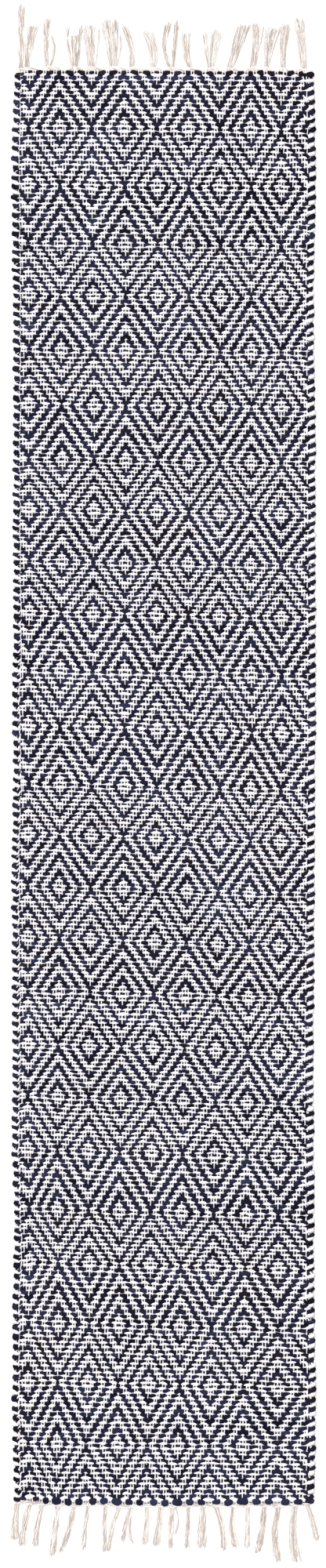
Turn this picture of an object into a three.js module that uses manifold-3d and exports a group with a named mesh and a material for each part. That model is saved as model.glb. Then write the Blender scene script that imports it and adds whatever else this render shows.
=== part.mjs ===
// A flat-woven cotton runner rug: one woven sheet, and at each end a narrow heading
// whose warp ends run on as a loose fringe of flat-lying locks.
// Millimetres, +Z up. X is the rug's width, Y its length, and it lies on Z = 0.
import * as THREE from 'three';
import * as BufferGeometryUtils from 'three/addons/utils/BufferGeometryUtils.js';
import Module from 'manifold-3d';

const wasm = await Module();
wasm.setup();

// Driving dimensions.
const RUG_WIDTH = 762;
const FIELD_LENGTH = 3608;
const FIELD_THICKNESS = 8;
const SELVEDGE_ROUND = 2.2;
const PIECE_GAP = 0.3;
const HEADING_DEPTH = { top: 11, bottom: 7 };
const HEADING_THICKNESS = 4.5;
const HEADING_INSET = 6;
const STRAND_WIDTH = 2;
const STRAND_HEIGHT = 2.4;
const STRAND_PITCH = 2.5;
const BAND_STEP = 0.8;
const STRAND_STEPS = 4;
const EDGE_STEPS = 4;

// How far each long edge bulges out (+) or draws in (-), at even steps from the top
// end of the field to the bottom end.
const LONG_EDGES = [
  { left: -4, right: -5 },
  { left: 2.6, right: 2 },
  { left: 1.6, right: -1 },
  { left: -1.4, right: -2 },
  { left: -0.4, right: 2 },
  { left: -1, right: 1 },
  { left: -1.4, right: 2 },
  { left: 0.6, right: 2.4 },
  { left: -1.4, right: 0 },
  { left: 2.6, right: -1 },
  { left: 1.8, right: -2 },
  { left: -0.4, right: -4 },
  { left: 1.6, right: -2.6 },
  { left: -3.4, right: -1.4 },
  { left: -0.4, right: -0.6 },
  { left: 1.4, right: 2.4 },
  { left: -4, right: -4 },
];

// How far the field's two ends reach past their nominal line, at even steps across
// the width from the left selvedge to the right one.
const CROSS_EDGES = [
  { top: -5, bottom: -10 },
  { top: 1.6, bottom: -4 },
  { top: 0.8, bottom: -0.6 },
  { top: 0.6, bottom: -2 },
  { top: 0, bottom: 1.6 },
  { top: -1, bottom: 0.6 },
  { top: -1.2, bottom: 0.8 },
  { top: -1.4, bottom: 0.8 },
  { top: -2.2, bottom: 0.6 },
  { top: -1, bottom: -1 },
  { top: -2.4, bottom: 0.4 },
  { top: -6, bottom: -9 },
];

// The locks of the fringe. root: where the lock leaves the heading, across the width
// from the rug's middle. lean: how far its tip lies to the side of its root. bulge: how
// far its middle bows to the side. reach: its length. spread: its width at the tips.
const TOP_LOCKS = [
  { root: -361, lean: 3, bulge: 0, reach: 158, spread: 11, strands: 4 },
  { root: -347, lean: 15, bulge: -2, reach: 106, spread: 22, strands: 6 },
  { root: -295, lean: 0, bulge: -3, reach: 121, spread: 13, strands: 4 },
  { root: -287.5, lean: 3, bulge: 9, reach: 76, spread: 5, strands: 2 },
  { root: -232, lean: -12.5, bulge: -3, reach: 100, spread: 4, strands: 2 },
  { root: -225.5, lean: -1, bulge: 0, reach: 83, spread: 12, strands: 3 },
  { root: -219, lean: 9, bulge: 2, reach: 104, spread: 4, strands: 2 },
  { root: -184, lean: -4, bulge: -1, reach: 104, spread: 25, strands: 7 },
  { root: -173.5, lean: 9, bulge: 2, reach: 103, spread: 3, strands: 1 },
  { root: -129.5, lean: -8, bulge: 1, reach: 121, spread: 40, strands: 7 },
  { root: -119, lean: 12, bulge: 3, reach: 84, spread: 3, strands: 1 },
  { root: -80.5, lean: -20, bulge: 8, reach: 106, spread: 12, strands: 5 },
  { root: -27, lean: -15, bulge: 8, reach: 93, spread: 26, strands: 7 },
  { root: 14, lean: -1, bulge: -12, reach: 113, spread: 11, strands: 3 },
  { root: 22, lean: 10, bulge: 0, reach: 116, spread: 11, strands: 3 },
  { root: 65, lean: -9, bulge: -4, reach: 86, spread: 19, strands: 6 },
  { root: 111.5, lean: -9, bulge: 0, reach: 90, spread: 9, strands: 2 },
  { root: 120.5, lean: 14, bulge: -1, reach: 94, spread: 27, strands: 5 },
  { root: 166.5, lean: 36, bulge: 1, reach: 110, spread: 30, strands: 6 },
  { root: 221.5, lean: 12, bulge: 3, reach: 112, spread: 15, strands: 5 },
  { root: 230, lean: 25, bulge: -1, reach: 110, spread: 3, strands: 1 },
  { root: 259, lean: 16, bulge: -3, reach: 102, spread: 34, strands: 6 },
  { root: 300, lean: 6, bulge: -3, reach: 110, spread: 20, strands: 5 },
  { root: 352.5, lean: -13, bulge: 1, reach: 126, spread: 24, strands: 7 },
];

const BOTTOM_LOCKS = [
  { root: -370, lean: -5.5, bulge: -3, reach: 92, spread: 18, strands: 5 },
  { root: -339, lean: -18, bulge: -3, reach: 105, spread: 13, strands: 5 },
  { root: -308, lean: -17, bulge: -2, reach: 103, spread: 10, strands: 4 },
  { root: -267.5, lean: -15.5, bulge: 0, reach: 124, spread: 10, strands: 5 },
  { root: -228, lean: -33, bulge: 5, reach: 113, spread: 13, strands: 5 },
  { root: -191.5, lean: -11.5, bulge: -2, reach: 107, spread: 7, strands: 4 },
  { root: -148, lean: -1, bulge: -2, reach: 113, spread: 8, strands: 4 },
  { root: -113, lean: -25.5, bulge: -5, reach: 110, spread: 8, strands: 4 },
  { root: -86, lean: -19.5, bulge: -1, reach: 87, spread: 7, strands: 3 },
  { root: -79, lean: -1, bulge: -7, reach: 89, spread: 4, strands: 2 },
  { root: -44.5, lean: -5, bulge: 1, reach: 95, spread: 15, strands: 5 },
  { root: -7, lean: -13, bulge: 0, reach: 99, spread: 13, strands: 5 },
  { root: 22.5, lean: -6, bulge: -1, reach: 103, spread: 10, strands: 5 },
  { root: 30.5, lean: -3, bulge: 7, reach: 72, spread: 3, strands: 1 },
  { root: 61, lean: -5, bulge: 1, reach: 103, spread: 10, strands: 4 },
  { root: 97, lean: -3, bulge: 1, reach: 103, spread: 21, strands: 6 },
  { root: 132.5, lean: 20, bulge: 5, reach: 107, spread: 12, strands: 5 },
  { root: 176, lean: 6, bulge: -7, reach: 101, spread: 15, strands: 5 },
  { root: 211.5, lean: -2.5, bulge: 0, reach: 105, spread: 9, strands: 4 },
  { root: 253, lean: -19.5, bulge: 4, reach: 118, spread: 12, strands: 5 },
  { root: 288.5, lean: 0, bulge: -9, reach: 136, spread: 15, strands: 5 },
  { root: 330, lean: 4, bulge: -8, reach: 140, spread: 21, strands: 6 },
  { root: 361, lean: 26, bulge: 3, reach: 91, spread: 11, strands: 5 },
];

// Ratio by which each strand of a lock falls short of the longest one, in turn.
const SHORT_BY = [0.07, 0, 0.04, 0.02, 0.09, 0.01, 0.06];

const clothWhite = { roughness: 0.9, metalness: 0 };
const navyAndWhite = new THREE.MeshStandardMaterial({ color: 0x55566b, ...clothWhite });
const creamCotton = new THREE.MeshStandardMaterial({ color: 0xf3efe6, ...clothWhite });

// A smooth value between the rows of a table that are spaced evenly from 0 to 1.
function along(table, column, t) {
  const at = Math.min(Math.max(t, 0), 1) * (table.length - 1);
  const row = Math.min(Math.floor(at), table.length - 2);
  const pick = (n) => table[Math.min(Math.max(n, 0), table.length - 1)][column];
  const f = at - row;
  const [a, b, c, d] = [pick(row - 1), pick(row), pick(row + 1), pick(row + 2)];
  return b + 0.5 * f * (c - a + f * (2 * a - 5 * b + 4 * c - d + f * (3 * (b - c) + d - a)));
}

// The line of one end of the field: how far out it lies at a place across the width.
function endLine(end, x) {
  return FIELD_LENGTH / 2 + along(CROSS_EDGES, end, x / RUG_WIDTH + 0.5);
}

function outwards(end) {
  return end === 'top' ? 1 : -1;
}

function endPoints(end, from, to, offset) {
  const steps = (CROSS_EDGES.length - 1) * 2;
  return Array.from({ length: steps + 1 }, (_, i) => {
    const x = from + ((to - from) * i) / steps;
    return new THREE.Vector2(x, outwards(end) * (endLine(end, x) + offset));
  });
}

function sidePoints(side) {
  const steps = (LONG_EDGES.length - 1) * EDGE_STEPS;
  const sign = side === 'left' ? -1 : 1;
  const points = [];
  for (let i = 1; i < steps; i += 1) {
    const t = i / steps;
    const x = sign * (RUG_WIDTH / 2 + along(LONG_EDGES, side, t));
    points.push(new THREE.Vector2(x, FIELD_LENGTH * (0.5 - t)));
  }
  return points;
}

// The woven field: its own outline, with rounded selvedges, flat above and below.
function fieldGeometry() {
  const last = LONG_EDGES.length - 1;
  const corner = (side, row) => RUG_WIDTH / 2 + LONG_EDGES[row][side];
  const outline = [
    ...endPoints('top', corner('right', 0), -corner('left', 0), 0),
    ...sidePoints('left'),
    ...endPoints('bottom', -corner('left', last), corner('right', last), 0),
    ...sidePoints('right').reverse(),
  ];
  const geometry = new THREE.ExtrudeGeometry(new THREE.Shape(outline), {
    depth: FIELD_THICKNESS - 2 * SELVEDGE_ROUND,
    bevelThickness: SELVEDGE_ROUND,
    bevelSize: SELVEDGE_ROUND,
    bevelOffset: -SELVEDGE_ROUND,
    bevelSegments: 1,
  });
  geometry.translate(0, 0, SELVEDGE_ROUND);
  return geometry;
}

// One strand of a lock, as seen from above: up one side to its tip and back down the
// other, from the heading's outer line.
function strandOutline(end, lock, number) {
  const place = lock.strands > 1 ? number / (lock.strands - 1) - 0.5 : 0;
  const root = lock.root + place * (lock.strands - 1) * STRAND_PITCH;
  const tip = lock.root + lock.lean + place * lock.spread;
  const start = endLine(end, root) + PIECE_GAP + HEADING_DEPTH[end];
  const stop = 1 - SHORT_BY[number % SHORT_BY.length];
  const course = Array.from({ length: STRAND_STEPS + 1 }, (_, i) => {
    const t = (stop * i) / STRAND_STEPS;
    const x = root + (tip - root) * t + lock.bulge * Math.sin(Math.PI * t);
    return new THREE.Vector2(x, outwards(end) * (start + lock.reach * t));
  });
  const side = (dx) => course.map((at) => new THREE.Vector2(at.x + dx, at.y));
  return [...side(STRAND_WIDTH / 2), ...side(-STRAND_WIDTH / 2).reverse()];
}

// The heading's lower part with its strands, fused at their roots, in one outline. The
// strands lie flat on the floor and apart from each other.
function strandsGeometry(end, locks) {
  const edge = RUG_WIDTH / 2 - HEADING_INSET;
  const outer = endPoints(end, -edge, edge, PIECE_GAP + HEADING_DEPTH[end]);
  const strands = locks.flatMap((lock) => {
    const numbers = Array.from({ length: lock.strands }, (_, number) => number);
    return numbers.map((number) => strandOutline(end, lock, number));
  });
  const outline = [
    ...endPoints(end, -edge, edge, PIECE_GAP),
    outer.at(-1),
    ...strands.reverse().flat(),
    outer[0],
  ];
  return new THREE.ExtrudeGeometry(new THREE.Shape(outline), {
    depth: STRAND_HEIGHT,
    bevelEnabled: false,
  });
}

// The heading's upper part: a band a little narrower than the lower one, which it sinks
// into.
function bandGeometry(end) {
  const edge = RUG_WIDTH / 2 - HEADING_INSET - BAND_STEP;
  const outline = [
    ...endPoints(end, -edge, edge, PIECE_GAP + BAND_STEP),
    ...endPoints(end, edge, -edge, PIECE_GAP + HEADING_DEPTH[end] - BAND_STEP),
  ];
  const geometry = new THREE.ExtrudeGeometry(new THREE.Shape(outline), {
    depth: HEADING_THICKNESS - STRAND_HEIGHT / 2,
    bevelEnabled: false,
  });
  geometry.translate(0, 0, STRAND_HEIGHT / 2);
  return geometry;
}

function toSolid(geometry) {
  geometry.deleteAttribute('normal');
  geometry.deleteAttribute('uv');
  const merged = BufferGeometryUtils.mergeVertices(geometry, 1e-4);
  return new wasm.Manifold(new wasm.Mesh({
    numProp: 3,
    vertProperties: new Float32Array(merged.attributes.position.array),
    triVerts: new Uint32Array(merged.index.array),
  }));
}

function toGeometry(solid) {
  const mesh = solid.getMesh();
  const geometry = new THREE.BufferGeometry();
  geometry.setAttribute('position', new THREE.BufferAttribute(mesh.vertProperties, 3));
  geometry.setIndex(new THREE.BufferAttribute(mesh.triVerts, 1));
  geometry.computeVertexNormals();
  return geometry;
}

function fringeGeometry(end, locks) {
  return toGeometry(toSolid(strandsGeometry(end, locks)).add(toSolid(bandGeometry(end))));
}

function piece(name, geometry, material) {
  const mesh = new THREE.Mesh(geometry, material);
  mesh.name = name;
  return mesh;
}

const group = new THREE.Group();
group.add(piece('woven_field', fieldGeometry(), navyAndWhite));
group.add(piece('fringe_top', fringeGeometry('top', TOP_LOCKS), creamCotton));
group.add(piece('fringe_bottom', fringeGeometry('bottom', BOTTOM_LOCKS), creamCotton));

// The origin is the middle of the whole rug's box, on the surface that it lies on.
const middle = new THREE.Box3().setFromObject(group).getCenter(new THREE.Vector3());
group.position.set(-middle.x, -middle.y, 0);

export default group;
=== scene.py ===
"""A flat-woven cotton runner in a navy and white diamond twill, laid on a pale floor.

Every yarn of the weave is a tube of its own: the navy and white wefts, which turn back at
the selvedges, the thin white warp that binds them, and the fringe, whose threads stand for
the same warp ends gathered into locks.
"""

import math

import bpy
import numpy as np
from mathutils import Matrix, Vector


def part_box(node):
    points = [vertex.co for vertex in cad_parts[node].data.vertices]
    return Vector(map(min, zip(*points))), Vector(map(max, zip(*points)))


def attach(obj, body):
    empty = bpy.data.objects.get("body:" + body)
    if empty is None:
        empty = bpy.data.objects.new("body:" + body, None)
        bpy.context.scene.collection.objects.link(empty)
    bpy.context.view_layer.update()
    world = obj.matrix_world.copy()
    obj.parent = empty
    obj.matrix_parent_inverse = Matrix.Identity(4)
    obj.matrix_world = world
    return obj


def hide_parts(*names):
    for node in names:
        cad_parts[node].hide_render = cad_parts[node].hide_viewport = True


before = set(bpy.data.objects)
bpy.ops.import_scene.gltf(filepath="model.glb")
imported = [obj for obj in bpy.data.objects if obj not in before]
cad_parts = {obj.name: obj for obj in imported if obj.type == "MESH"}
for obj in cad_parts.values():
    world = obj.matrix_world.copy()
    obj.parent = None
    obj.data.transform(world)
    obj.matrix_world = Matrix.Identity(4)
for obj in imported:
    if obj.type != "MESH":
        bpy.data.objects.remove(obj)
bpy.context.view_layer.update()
SEED = 7
chance = np.random.default_rng(SEED)

# The photograph's scale, the pixel that is the middle of the rug's field, and its frame.
MM_PER_PX = 1.974
MIDDLE_PX = (208.9, 1004.6)
FRAME_PX = (416, 2000)

# Rows of the photograph: the field's two end lines, and where the warp leaves the cloth.
END_LINES = {"top": 90.2, "bottom": 1917.6}
FRINGE_LINES = {"top": 90.0, "bottom": 1918.0}

# Columns of the photograph: the cloth without its selvedges, and where the last pick tapers.
# Then the warp ends' mean spacing.
CLOTH_COLUMNS = (20, 395)
TAPER_COLUMNS = (10, 60)
END_SPACING_PX = 3.65

# The rug's own sizes, in millimetres, as in the CAD source.
RUG_WIDTH = 762
FIELD_LENGTH = 3608
MID_HEIGHT = 4.0
HEADING_DEPTH = {"top": 11, "bottom": 7}
PIECE_GAP = 0.3
STRAND_PITCH = 2.5
SHORT_BY = (0.07, 0, 0.04, 0.02, 0.09, 0.01, 0.06)

# How far each long edge bulges out (+) or draws in (-), evenly from the top to the bottom.
LONG_EDGES = {
    "left": (-4, 2.6, 1.6, -1.4, -0.4, -1, -1.4, 0.6, -1.4, 2.6, 1.8, -0.4, 1.6, -3.4, -0.4, 1.4, -4),
    "right": (-1.5, 2, -1, -2, 2, 1, 2, 2.4, 0, -1, -2, -4, -2.6, -1.4, -0.6, 2.4, -2),
}

# How far the field's two ends reach past their nominal line, evenly from left to right.
CROSS_EDGES = {
    "top": (-5, 1.6, 0.8, 0.6, 0, -1, -1.2, -1.4, -2.2, -1, -2.4, -6),
    "bottom": (-10, -4, -0.6, -2, 1.6, 0.6, 0.8, 0.8, 0.6, -1, 0.4, -9),
}

# The same for the first and last rows of the weave, which keep straighter near the corners.
ROW_EDGES = {
    "top": (-1, 1.2, 0.8, 0.6, 0, -1, -1.2, -1.4, -2.2, -1, -2, -3),
    "bottom": (-5.5, -6, -1, -2, 1.6, 0.6, 0.8, 0.8, 0.6, -0.5, 0.4, -1.5),
}

# The threads of each lock: root (mm from the rug's middle), lean, bulge, reach, spread, threads.
LOCKS = {
    "top": (
        (-361, 3, 0, 158, 11, 4),
        (-347, 15, -2, 106, 22, 6),
        (-295, 0, -3, 121, 13, 4),
        (-287.5, 3, 9, 76, 5, 2),
        (-232, -12.5, -3, 100, 4, 2),
        (-225.5, -1, 0, 83, 12, 3),
        (-219, 9, 2, 104, 4, 2),
        (-184, -4, -1, 104, 25, 7),
        (-173.5, 9, 2, 103, 3, 1),
        (-129.5, -8, 1, 121, 40, 7),
        (-119, 12, 3, 84, 3, 1),
        (-80.5, -20, 8, 106, 12, 5),
        (-27, -15, 8, 93, 26, 7),
        (14, -1, -12, 113, 11, 3),
        (22, 10, 0, 116, 11, 3),
        (65, -9, -4, 86, 19, 6),
        (111.5, -9, 0, 90, 9, 2),
        (120.5, 14, -1, 94, 27, 5),
        (166.5, 36, 1, 110, 30, 6),
        (221.5, 12, 3, 112, 15, 5),
        (230, 25, -1, 110, 3, 1),
        (259, 16, -3, 102, 34, 6),
        (300, 6, -3, 110, 20, 5),
        (352.5, -13, 1, 126, 24, 7),
    ),
    "bottom": (
        (-370, -5.5, -3, 92, 18, 5),
        (-339, -18, -3, 105, 13, 5),
        (-308, -17, -2, 103, 10, 4),
        (-267.5, -15.5, 0, 124, 10, 5),
        (-228, -33, 5, 113, 13, 5),
        (-191.5, -11.5, -2, 107, 7, 4),
        (-148, -1, -2, 113, 8, 4),
        (-113, -25.5, -5, 110, 8, 4),
        (-86, -19.5, -1, 87, 7, 3),
        (-79, -1, -7, 89, 4, 2),
        (-44.5, -5, 1, 95, 15, 5),
        (-7, -13, 0, 99, 13, 5),
        (22.5, -6, -1, 103, 10, 5),
        (30.5, -3, 7, 72, 3, 1),
        (61, -5, 1, 103, 10, 4),
        (97, -3, 1, 103, 21, 6),
        (132.5, 20, 5, 107, 12, 5),
        (176, 6, -7, 101, 15, 5),
        (211.5, -2.5, 0, 105, 9, 4),
        (253, -19.5, 4, 118, 12, 5),
        (288.5, 0, -9, 136, 15, 5),
        (330, 4, -8, 140, 21, 6),
        (361, 26, 3, 91, 11, 5),
    ),
}

# The weave. The navy weft has PICKS picks, and the white one has one fewer, between them.
PICKS = 312
DIAMOND_ENDS = 22
DIAMOND_PICKS = 24

# Rows of the photograph where the diamonds turn, half a diamond apart, the last pick's row, and
# the pitch above the first.
TURN_ROWS = (
    92.5, 165, 240, 313, 380, 449, 521, 590, 655, 720, 787, 860, 934,
    1006, 1071, 1137, 1204, 1270, 1340, 1405, 1474, 1549, 1617, 1694, 1769, 1845,
)
LAST_ROW = 1914
ABOVE_PITCH_PX = 5.9

# Where the first warp ends lie from the left edge and the last from the right, in pixels.
FIRST_END, TURN_END, LAST_END = 3, 6, 104
FIRST_END_IN = 9.4
TURN_END_IN = 20.6
LAST_END_IN = 6.6

# The columns where the diamonds turn, half a diamond apart, at several rows of the photograph.
AXIS_ENDS = (17, 28, 39, 50, 61, 72, 83, 94)
AXIS_COLUMNS = (
    (110, (75.6, 116.6, 157.8, 199.8, 240.4, 280.8, 320.2, 358.6)),
    (530, (79.0, 120.6, 161.2, 201.8, 241.8, 281.2, 320.6, 358.8)),
    (770, (78.8, 118.8, 159.6, 200.0, 240.0, 279.4, 319.2, 358.2)),
    (920, (77.2, 118.2, 159.4, 200.8, 241.8, 281.8, 321.2, 359.8)),
    (1160, (75.8, 116.2, 157.6, 198.2, 238.8, 278.4, 318.2, 356.8)),
    (1400, (74.2, 113.8, 154.2, 194.8, 234.6, 275.2, 315.6, 355.8)),
    (1520, (72.6, 112.8, 151.6, 192.2, 231.6, 272.6, 314.2, 355.4)),
    (1640, (74.6, 114.2, 152.4, 191.4, 230.2, 270.6, 312.4, 354.6)),
    (1760, (73.6, 112.2, 150.8, 189.8, 229.2, 269.2, 311.2, 353.4)),
    (1880, (71.4, 109.2, 148.8, 187.2, 226.2, 266.4, 309.4, 353.6)),
)

# How far the picks lie below their row at the two slant columns: row, left and right, in pixels.
SLANT_COLUMNS = (118, 320)
SLANT_REACH = (-0.35, 1.3)
SLANTS = (
    (92, -1, 1),
    (600, -2.5, 1),
    (1100, -4, 3),
    (1200, -4, 3),
    (1400, -4.5, 2),
    (1690, -4.5, 2),
    (1915, -1, 0),
)

# Near its ends the cloth follows ROW_EDGES: over how many pixels, and how far down it moves.
END_FADE = 28
END_OFFSET = 1.25

# Random drift of the warp ends and of the picks: its size (px), and over how many picks and ends.
COLUMN_DRIFT = ((0.7, (50, 9)), (0.45, (14, 1)))
LEVEL_DRIFT = ((0.8, (16, 9)), (0.8, (5, 4)))

# How far below the middle of two picks they turn round the edge, evenly down the rug (px).
TURN_LAGS = {
    "left": (0.5, -2.5, -2.8, -1.3, -1, 2.5, 4, 2.5, 3.8, 2.2, 1.3, 2.5, 4),
    "right": (3.5, 1.5, 1.8, 1.8, 1.8, 0.8, 1.8, 1.8, 1.3, 2.5, 2.3, 4, 4.5),
}

# The rings of one turn: how far in from the edge and below its middle (px), half width (in
# pairs of picks) and height.
TURN_RINGS = {
    "left": (
        (4.6, -1.6, 0.30, -1.0),
        (1.6, -1.1, 0.33, -0.7),
        (0.9, -0.7, 0.36, 0.15),
        (2.0, 0.0, 0.43, 0.85),
        (4.6, 1.2, 0.42, 1.05),
        (7.6, 2.3, 0.24, 0.35),
    ),
    "right": (
        (5.0, -2.2, 0.30, -1.0),
        (1.3, -2.4, 0.33, -0.7),
        (0.5, -1.8, 0.34, 0.15),
        (1.9, -0.9, 0.43, 0.85),
        (5.0, 0.7, 0.46, 1.05),
        (8.0, 1.2, 0.36, 0.9),
        (10.6, 1.0, 0.2, 0.1),
    ),
}

# How much lower the white weft turns, in pairs of picks.
WHITE_TURN_ROW = 0.5

# Random changes from turn to turn: how far out and down (px), and the width's share. A pick
# that starts at the right keeps TURN_ROOM (px) clear of the edge.
TURN_STRAY_OUT = 0.8
TURN_STRAY_RANGE = (-1.6, 0.9)
TURN_STRAY_DOWN = 0.65
TURN_WIDTH = 1.04
TURN_WIDTH_STRAY = 0.15
TURN_ROOM = 11.5

# The rings of a weft's free end in a right corner: how far in from the edge (px), below its
# pick and half width (in pitches), and height.
FREE_END = (
    (13.0, 0.1, 0.3, 0.2),
    (9.5, 0.05, 0.5, 0.95),
    (5.0, 0, 0.66, 1.05),
    (1.6, -0.05, 0.56, 0.7),
    (0.2, -0.1, 0.2, 0.0),
)

# Where the free end's height is read and how much of its pick gives way to it, in from the edge
# (px), and how much smaller and lower (px) the white one is.
FREE_END_LEVEL_IN = 5
FREE_END_ROOM = 13.5
WHITE_END_SIZE = 0.7
WHITE_END_DROP = 5

# Random changes along a weft: of its width over several rings, from pick to pick and from ring
# to ring, of its height, and of its rings' places (px).
SWELL, SWELL_RINGS = 0.16, 2.6
PICK_SWELL = 0.05
RING_SWELL = 0.07
RING_LIFT = 0.05
STRAY_ACROSS = 0.25
SWAY, SWAY_RINGS = 0.5, 3
STRAY_DOWN = 0.28
NAVY_WIDTH = 1.14
WHITE_WIDTH = 0.93

# How the wefts' tone varies: from float to float, over the cloth, the shares of off-colour
# picks and floats, and how strong off-colour clouds are.
NAVY_TONE = {"float": 0.1, "cloud": 0.12, "odd_pick": 0.05, "odd_float": 0.05, "tint": 0.7}
WHITE_TONE = {"float": 0.06, "cloud": 0.04, "odd_pick": 0.02, "odd_float": 0.015, "tint": 0.4}
BASE_TONE = 0.25
PICK_TONE = 0.06
ODD_FLOAT_TONE = 0.5
ODD_PICK_TONE = 0.4
TINT_FROM = 0.35
SELVEDGE_TONE = 0.3

# The fringe's threads: places of the rings over the heading, sizes in millimetres, and reaches,
# tip and darker threads as shares. The darker threads are painted shade for the shadow lines between
# plies.
HEADING_RINGS = (0, 0.3, 0.6, 0.85)
ROOT_INSIDE = 1.5
ROOT_HEIGHT, ROOT_DROP = 4.4, 2.6
PLY_APART = 0.5
TIP_STRAY = 4.5
THREAD_REACH, REACH_STRAY = 1.04, 0.05
RING_SPACING, LEAST_RINGS = 7.5, 9
PLY_OUT, PLY_TURN, PLY_LIFT = 0.85, 0.9, 0.6
TIP_OPENS, TIP_SHARE = 0.65, 0.35
THREAD_HEIGHT, HEADING_STEP = 1.55, 0.8
OUTER_PLY_HALF, MIDDLE_PLY_HALF = 1.3, 1.1
SHADE_LINE_SHARE, SHADE_LINE_TONE = 0.35, 0.42

# The headings' cords, in millimetres, and how many rings each has.
CORD_SPACING = 1.9
CORD_HALF = 1.25
CORD_INSET = 7
CORD_RINGS = 150

# Yarn sizes, in millimetres: how far they rise from the middle height, and half sizes.
NAVY_RISE = 1.85
WHITE_RISE = 1.6
WEFT_HALF = 2.0
WARP_RISE = 1.9
WARP_HALF = 1.85

# Half sections of the yarns, from one side of the yarn round to the other: (across, up).
WEFT_SECTION = ((0.98, -0.1), (0.6, 0.9), (-0.6, 0.9), (-0.98, -0.1), (0, -0.95))
WARP_SECTION = ((0.95, -0.55), (0, 1.1), (-0.95, -0.55))
THREAD_SECTION = ((0.75, 0.7), (-0.75, 0.7), (-0.75, -0.7), (0.75, -0.7))


def along(column, t):
    """A smooth value between table values that are spaced evenly from 0 to 1."""
    values = np.asarray(column, float)
    at = np.clip(t, 0, 1) * (len(values) - 1)
    row = np.minimum(np.floor(at).astype(int), len(values) - 2)
    f = at - row
    a, b, c, d = (values[np.clip(row + n, 0, len(values) - 1)] for n in (-1, 0, 1, 2))
    return b + 0.5 * f * (c - a + f * (2 * a - 5 * b + 4 * c - d + f * (3 * (b - c) + d - a)))


def end_line(end, x):
    """How far one end of the field lies from its middle, at a place across the width."""
    return FIELD_LENGTH / 2 + along(CROSS_EDGES[end], np.asarray(x) / RUG_WIDTH + 0.5)


def edge_line(side, y):
    """How far one long edge lies from the field's middle, at a place along the length."""
    return RUG_WIDTH / 2 + along(LONG_EDGES[side], 0.5 - np.asarray(y) / FIELD_LENGTH)


def from_px(x, y):
    """A place in the photograph, in millimetres from the middle of the rug's field."""
    return (x - MIDDLE_PX[0]) * MM_PER_PX, (MIDDLE_PX[1] - y) * MM_PER_PX


def frame_shift():
    """What moves the rug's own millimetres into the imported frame."""
    steps = np.linspace(0, 1, 65)[1:-1]
    left = -max(along(LONG_EDGES["left"], steps)) - RUG_WIDTH / 2
    across = np.linspace(0, 1, 23)
    top = FIELD_LENGTH / 2 + max(along(CROSS_EDGES["top"], across))
    low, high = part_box("woven_field")
    return low[0] * 1000 - left, high[1] * 1000 - top


SHIFT = frame_shift()


def to_world(points):
    """Points in the rug's own millimetres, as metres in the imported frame."""
    moved = np.array(points, float)
    moved[:, 0] += SHIFT[0]
    moved[:, 1] += SHIFT[1]
    return moved / 1000


# meshes

def smooth_noise(count, step, rng):
    """A random line of count values that wanders over about step values, from -1 to 1."""
    knots = rng.uniform(-1, 1, int(count / step) + 3)
    return np.interp(np.arange(count) / step, np.arange(len(knots)), knots)


def smooth_field(shape, steps, rng):
    """A random surface over picks and ends that wanders over about steps of each."""
    down = np.array([smooth_noise(shape[0], steps[0], rng) for _ in range(int(shape[1] / steps[1]) + 3)])
    at = np.arange(shape[1]) / steps[1]
    return np.array([np.interp(at, np.arange(len(down)), column) for column in down.T])


def rings(path, half_width, half_height, section, across=None):
    """The rings of one yarn along its path. across is the direction of its width."""
    step = np.gradient(path, axis=0)
    run = step / np.linalg.norm(step, axis=1, keepdims=True)
    if across is None:
        side = np.cross((0, 0, 1), run)
    else:
        side = np.asarray(across, float) - run * (run @ np.asarray(across, float))[:, None]
    side /= np.linalg.norm(side, axis=1, keepdims=True)
    rise = np.cross(run, side)
    shape = np.asarray(section, float)
    out = side[:, None] * shape[None, :, :1] * np.asarray(half_width)[:, None, None]
    up = rise[:, None] * shape[None, :, 1:] * np.asarray(half_height)[:, None, None]
    return path[:, None] + out + up


# The share of its row that a yarn's strip fills in the flat map, and the margin before it.
STRIP_MARGIN = 0.06
STRIP_WIDTH = 0.88


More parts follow.
